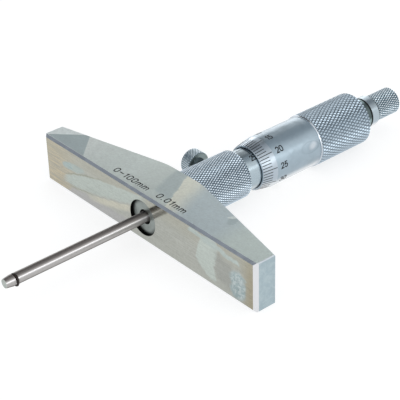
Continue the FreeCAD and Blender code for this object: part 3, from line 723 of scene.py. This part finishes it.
# Knob knurl with a painted shadow at its foot, next to the plain ring
knob_metal = knurled_metal(
    "knob_knurl", (0.35, 0.49, 0.58), knob_knurl.radius, knob_knurl.depth, foot=(100.2, 100.75),
    worn=(0.4, 0.7))
knurl_faces(knob, knob_metal, 99.55, 110.65, 4.27)
# The knob's front face and chamfer get a painted shadow
give_faces(knob, shadow_steel, lambda face: face.center.y < 96.35 * MM and face.normal.y < -0.3)
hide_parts("ratchet_knob")

# Lock screw: knurled drum on a short neck, turned from the Y axis towards -X
lock_knurl = Knurl(4.4, 12.5, 15.9, rows=9, depth=0.26, low_bevel=1.0, high_bevel=1.0)
lock_build = turned_mesh([
    (0.0, 6.45), (1.8, 6.45), (2.0, 6.65), (2.0, 11.6), (2.5, 12.4), (3.75, 12.4), (3.9, 12.2), (4.15, 12.2),
    lock_knurl,
    (4.1, 16.2), (2.6, 16.2), (2.4, 15.9), (0.0, 15.9)
], grooves=38)
lock_place = Matrix.Translation((0, LOCK_HEIGHT, 0)) @ Matrix.Rotation(math.pi / 2, 4, "Z")
bmesh.ops.transform(lock_build, matrix=lock_place, verts=lock_build.verts)
lock = finish_mesh("lock_detail", lock_build, lock_steel, "lock_screw", sharp=20.0)
lock_metal = knurled_metal(
    "lock_knurl", (0.48, 0.62, 0.70), lock_knurl.radius, lock_knurl.depth, centre=LOCK_HEIGHT,
    worn=(0.42, 0.7))
knurl_faces(lock, lock_metal, 12.3, 16.1, 3.95, LOCK_HEIGHT)


def on_neck(face):
    x, y, z = face.center
    return x > -12.1 * MM and math.hypot(y - LOCK_HEIGHT * MM, z) < 2.6 * MM


# The neck gets its dark tint, painted shade
give_faces(lock, neck_steel, on_neck)
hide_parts("lock_screw")

# Round rubber ring, which sags to the lower right
RING_RADIUS = 1.75
RING_HALF = 0.34
RING_HEIGHT = -47.2
RING_SAG = (0.15, -0.18)
ring_turns = 40
ring_sides = 14
ring_build = bmesh.new()
ring_grid = []
for turn in range(ring_turns):
    around = math.tau * turn / ring_turns
    line = []
    for side in range(ring_sides):
        about = math.tau * side / ring_sides
        reach = RING_RADIUS + RING_HALF * math.cos(about)
        line.append(ring_build.verts.new((
            reach * math.cos(around) + RING_SAG[0],
            RING_HEIGHT + RING_HALF * math.sin(about),
            reach * math.sin(around) + RING_SAG[1])))
    ring_grid.append(line)
for here, there in zip(ring_grid, ring_grid[1:] + ring_grid[:1]):
    for side in range(ring_sides):
        following = (side + 1) % ring_sides
        ring_build.faces.new([here[side], here[following], there[following], there[side]])
ring = finish_mesh("rubber_ring", ring_build, rubber, "rod", sharp=80.0)
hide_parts("rod_ring")


# Engraving: strokes of even width, laid on a surface and filled with black
STROKE_TOP = 0.012
STROKE_FOOT = -0.06
LONGEST_PIECE = 0.35
# An open end reaches this share of the half width past its last point
END_SHARE = 0.6


def arc(cx, cy, rx, ry, start, end, steps=10):
    """Points on an ellipse, from one angle to another in degrees."""
    points = []
    for number in range(steps + 1):
        angle = math.radians(start + (end - start) * number / steps)
        points.append((cx + rx * math.cos(angle), cy + ry * math.sin(angle)))
    return points


# Each glyph has a width and its strokes, in a height of 1
OVAL = arc(0.29, 0.71, 0.29, 0.29, 0, 180) + arc(0.29, 0.29, 0.29, 0.29, 180, 360)
GLYPHS = {
    "0": (0.58, [OVAL + [OVAL[0]]]),
    "1": (0.30, [[(0.0, 0.78), (0.24, 1.0), (0.24, 0.0)]]),
    "2": (0.58, [arc(0.29, 0.71, 0.28, 0.29, 165, -30) + [(0.0, 0.0), (0.58, 0.0)]]),
    "3": (0.58, [arc(0.28, 0.75, 0.26, 0.25, 150, -80), arc(0.28, 0.27, 0.29, 0.27, 85, -155)]),
    "4": (0.60, [[(0.42, 0.0), (0.42, 1.0), (0.0, 0.28), (0.60, 0.28)]]),
    "5": (0.58, [[(0.54, 1.0), (0.08, 1.0), (0.04, 0.52)] + arc(0.27, 0.32, 0.30, 0.32, 125, -150)]),
    "-": (0.66, [[(0.0, 0.47), (0.66, 0.47)]]),
    ".": (0.16, [[(0.08, 0.0), (0.08, 0.06)]]),
    "m": (0.84, [[(0.0, 0.0), (0.0, 0.66)],
                 [(0.0, 0.45)] + arc(0.21, 0.45, 0.21, 0.21, 180, 0, 8) + [(0.42, 0.0)],
                 [(0.42, 0.45)] + arc(0.63, 0.45, 0.21, 0.21, 180, 0, 8) + [(0.84, 0.0)]]),
}


def short_pieces(points):
    """The same line in pieces short enough to follow a round surface."""
    line = [points[0]]
    for before, after in zip(points, points[1:]):
        pieces = max(1, math.ceil(math.dist(before, after) / LONGEST_PIECE))
        for number in range(1, pieces + 1):
            share = number / pieces
            line.append(tuple(a + (b - a) * share for a, b in zip(before, after)))
    return line


def stroke(build, points, half, lay):
    """Flat ribbon with square ends and mitred corners; lay places a point."""
    points = short_pieces(points)
    closed = points[0] == points[-1]
    line = [Vector(point) for point in points]
    last = len(line) - 1
    sides = []
    for number, here in enumerate(line):
        reach = half
        if closed or 0 < number < last:
            before = line[number - 1] if number else line[-2]
            after = line[number + 1] if number < last else line[1]
            first = (here - before).normalized()
            way = (first + (after - here).normalized()).normalized()
            reach = half / max(0.5, way.dot(first))
        elif number:
            way = (here - line[-2]).normalized()
            here = here + way * (half * END_SHARE)
        else:
            way = (line[1] - here).normalized()
            here = here + way * (-half * END_SHARE)
        normal = Vector((-way.y, way.x))
        sides.append((here + normal * reach, here - normal * reach))
    lifts = (STROKE_TOP, STROKE_FOOT)
    rows = [[build.verts.new(lay(*side, lift)) for lift in lifts for side in pair] for pair in sides]
    for here, there in zip(rows, rows[1:]):
        for i, j in ((0, 1), (1, 3), (3, 2), (2, 0)):
            build.faces.new([here[i], here[j], there[j], there[i]])
    if not closed:
        for end in (rows[0], rows[-1]):
            build.faces.new([end[0], end[1], end[3], end[2]])


def write(build, text, centre, height, half, lay, gap=0.26, stretch=1.0):
    """Line of text centred on a point of the surface."""
    wide = height * stretch
    total = sum(GLYPHS[letter][0] for letter in text) * wide + gap * wide * (len(text) - 1)
    start = centre[0] - total / 2
    for letter in text:
        width, strokes = GLYPHS[letter]
        for points in strokes:
            placed = [(start + px * wide, centre[1] + (py - 0.5) * height) for px, py in points]
            stroke(build, placed, half, lay)
        start += (width + gap) * wide


def on_turned(radius_at, angle):
    """Surface of revolution: u along +Y, v around it from an angle."""
    def lay(u, v, lift):
        radius = radius_at(u)
        turn = math.radians(angle) + v / radius
        return ((radius + lift) * math.cos(turn), u, (radius + lift) * math.sin(turn))
    return lay


def on_side(u, v, lift):
    """The base's upper side face."""
    return (u, v, BASE_HALF + lift)


def bevel_radius(y):
    """Radius of the thimble's front bevel at a height."""
    share = min(1.0, max(0.0, (y - BEVEL_START) / (BEVEL_END - BEVEL_START)))
    return FRONT_RADIUS + share


# Thimble scale: fifty divisions, a long line and a number at every fifth
DIVISION = 360 / 50
# Division 15 stands at 83.3 degrees
FIRST_ANGLE = 83.3 + 15 * DIVISION
scale_build = bmesh.new()
for division in range(50):
    angle = FIRST_ANGLE - division * DIVISION
    numbered = division % 5 == 0
    line_end = 48.5 if numbered else 46.8
    stroke(scale_build, [(43.4, 0.0), (line_end, 0.0)], 0.115, on_turned(bevel_radius, angle))
    if numbered:
        barrel_lay = on_turned(lambda y: BARREL_RADIUS, angle)
        write(scale_build, str(division), (51.65, -0.15), 1.85, 0.18, barrel_lay)
finish_mesh("thimble_scale", scale_build, ink, "thimble", sharp=80.0)

# Main scale on the sleeve: datum line, millimetres on one side, halves on the other
DATUM = 103.0
NUMBER_ANGLE = DATUM - 45.0
READING_25 = 42.42
datum_lay = on_turned(lambda y: SLEEVE_RADIUS, DATUM)
number_lay = on_turned(lambda y: SLEEVE_RADIUS, NUMBER_ANGLE)
sleeve_build = bmesh.new()
stroke(sleeve_build, [(39.8, 0.0), (69.2, 0.0)], 0.13, datum_lay)
for half_step in range(51):
    place = READING_25 + half_step * 0.5
    value = 25 - half_step / 2
    if half_step % 2:
        span = (0.0, 1.7)
    elif value % 5 == 0:
        span = (-3.9, 0.0)
    else:
        span = (-2.2, 0.0)
    stroke(sleeve_build, [(place, span[0]), (place, span[1])], 0.11, datum_lay)
    if half_step % 10 == 0:
        middle = (place - 0.15, 0.0)
        write(sleeve_build, str(int(value)), middle, 1.8, 0.16, number_lay, gap=0.17, stretch=0.78)
finish_mesh("sleeve_scale", sleeve_build, ink, "base", sharp=80.0)

# Range marks on the base
mark_build = bmesh.new()
write(mark_build, "0-100mm", (-8.95, 3.5), 2.25, 0.18, on_side, gap=0.36, stretch=1.09)
write(mark_build, "0.01mm", (10.2, 3.5), 2.25, 0.18, on_side, gap=0.38, stretch=1.08)
finish_mesh("range_marks", mark_build, ink, "base", sharp=80.0)

# Materials of the pieces that keep their own solids
own = {
    "base_block": base_steel(), "graduated_sleeve": sleeve_chrome, "guide_sleeve": steel,
    "sleeve_adjusting_nut": steel, "spindle": steel, "thimble_cap": cap_steel, "ratchet_crown": steel,
    "ratchet_spring": steel, "spring_washer": steel, "ratchet_screw": chrome,
    "measuring_rod": rod_metal(), "rod_adjusting_nut": steel, "rod_lock_nut": steel, "lock_pad": brass,
}
for node_name, material in own.items():
    obj = bpy.data.objects[node_name]
    if not obj.material_slots:
        obj.data.materials.append(material)
    for material_slot in obj.material_slots:
        material_slot.material = material

# Floor that the base's side and the grip rest on, a hair below their height and level
LOW = (0.75, -BASE_HALF)
HIGH = (80.0, -GRIP_RADIUS)
FLOOR_HALF = 2500.0
FLOOR_GAP = 0.02
slope = (HIGH[1] - LOW[1]) / (HIGH[0] - LOW[0])
floor_points = []
for fx, fy in ((-1, -1), (1, -1), (1, 1), (-1, 1)):
    level = LOW[1] + slope * (fy * FLOOR_HALF - LOW[0])
    floor_points.append(Vector((fx * FLOOR_HALF, fy * FLOOR_HALF, level - FLOOR_GAP)) * MM)
floor_mesh = bpy.data.meshes.new("floor")
floor_mesh.from_pydata(floor_points, [], [(0, 1, 2, 3)])
floor = bpy.data.objects.new("floor", floor_mesh)
bpy.context.scene.collection.objects.link(floor)


def seen_rays(t):
    """1 for the rays that show the background: camera, glossy and transmission."""
    path = t.node("ShaderNodeLightPath")
    seen = t.plus(path.outputs["Is Camera Ray"], path.outputs["Is Glossy Ray"])
    return t.plus(seen, path.outputs["Is Transmission Ray"], clamp=True)


floor_material, t = new_material("floor_paper")
paper = t.fill("ShaderNodeBsdfDiffuse", (0.36, 0.36, 0.36, 1.0))
glow = t.glow((1.0, 1.0, 1.0), t.times(seen_rays(t), 0.72))
t.finish(t.fill("ShaderNodeAddShader", paper, glow))
floor_mesh.materials.append(floor_material)

# World: white where it is seen, a little dimmer as light
world = bpy.data.worlds.new("studio")
bpy.context.scene.world = world
t = Tree(world)
sky = t.mix(seen_rays(t), (0.80, 0.82, 0.84), (1.0, 1.0, 1.0))
t.put(t.node("ShaderNodeOutputWorld").inputs[0], t.fill("ShaderNodeBackground", sky, 1.0))

# Point that the lamps and flags look at, and how far off they stand
AIM_POINT = Vector((0.0, 0.03, 0.0))
LAMP_DISTANCE = 1.2
FLAG_DISTANCE = 1.6


def face_part(obj, direction, distance):
    """Stand an object off the part in a direction, turned to it."""
    way_out = Vector(direction).normalized()
    up = Vector((0.0, 1.0, 0.0))
    side_way = (up - way_out * way_out.dot(up)).normalized()
    turn = Matrix((side_way, way_out.cross(side_way), way_out)).transposed()
    obj.matrix_world = Matrix.Translation(AIM_POINT + way_out * distance) @ turn.to_4x4()
    bpy.context.scene.collection.objects.link(obj)


def flag(name, direction, spread, soft, shade):
    """Round dark flag with a soft rim, for the metal to reflect; its half angles are in degrees."""
    radius = FLAG_DISTANCE * math.tan(math.radians(spread + soft))
    inner = FLAG_DISTANCE * math.tan(math.radians(max(0.0, spread - soft)))
    build = bmesh.new()
    bmesh.ops.create_circle(build, cap_ends=True, segments=48, radius=radius)
    mesh = bpy.data.meshes.new(name)
    build.to_mesh(mesh)
    build.free()
    obj = bpy.data.objects.new(name, mesh)
    face_part(obj, direction, FLAG_DISTANCE)
    material, t = new_material(name)
    reach = t.length(t.node("ShaderNodeTexCoord").outputs["Object"])
    clear = t.fill("ShaderNodeBsdfTransparent")
    t.finish(t.fill("ShaderNodeMixShader", t.ramp(reach, inner, radius), t.glow(shade), clear))
    mesh.materials.append(material)
    obj.visible_camera = False
    obj.visible_diffuse = False
    obj.visible_shadow = False


flag("flag_top", (-0.02, 0.56, 0.83), spread=21, soft=9, shade=(0.38, 0.41, 0.44))
flag("flag_back", (-0.72, 0.33, 0.61), spread=15, soft=4, shade=(0.04, 0.045, 0.05))
flag("flag_low", (-0.36, 0.25, 0.90), spread=16, soft=5, shade=(0.07, 0.075, 0.08))
flag("flag_left", (-0.65, -0.53, 0.54), spread=24, soft=10, shade=(0.20, 0.22, 0.26))


def soft_lamp(name, direction, size, power, length=0.0):
    """Round lamp that looks at the part, or a long one, with its length along the part."""
    lamp = bpy.data.lights.new(name, "AREA")
    lamp.shape = "RECTANGLE" if length else "DISK"
    lamp.size = length or size
    lamp.size_y = size
    lamp.energy = power
    face_part(bpy.data.objects.new(name, lamp), direction, LAMP_DISTANCE)


soft_lamp("key", (0.80, -0.42, 0.42), size=0.5, power=0.6)
soft_lamp("side", (0.86, 0.0, 0.43), size=0.30, power=2.05, length=1.9)
soft_lamp("front", (0.93, 0.18, 0.28), size=1.1, power=1.4, length=0.45)
soft_lamp("horizon", (-0.76, 0.65, 0.05), size=1.1, power=2.5)

# Camera where the photographer stood; its focal length was measured in the photo's pixels
FOCAL_PIXELS = 1388.153
PHOTO_PIXELS = 400.0
SENSOR = 36.0
camera_data = bpy.data.cameras.new("camera")
camera_data.sensor_width = SENSOR
camera_data.lens = FOCAL_PIXELS / PHOTO_PIXELS * SENSOR
camera_data.clip_start = 0.01
camera_data.clip_end = 20.0
camera = bpy.data.objects.new("camera", camera_data)
right = Vector((0.65356966, 0.75647942, -0.02419896))
upward = Vector((-0.3906587, 0.36455373, 0.84527295))
back = Vector((0.64825341, -0.54299122, 0.53378652))
place = Vector((0.283838, -0.214731, 0.230236))
camera.matrix_world = Matrix.Translation(place) @ Matrix((right, upward, back)).transposed().to_4x4()
bpy.context.scene.collection.objects.link(camera)
bpy.context.scene.camera = camera
bpy.context.scene.view_settings.view_transform = "Standard"

bpy.context.view_layer.update()
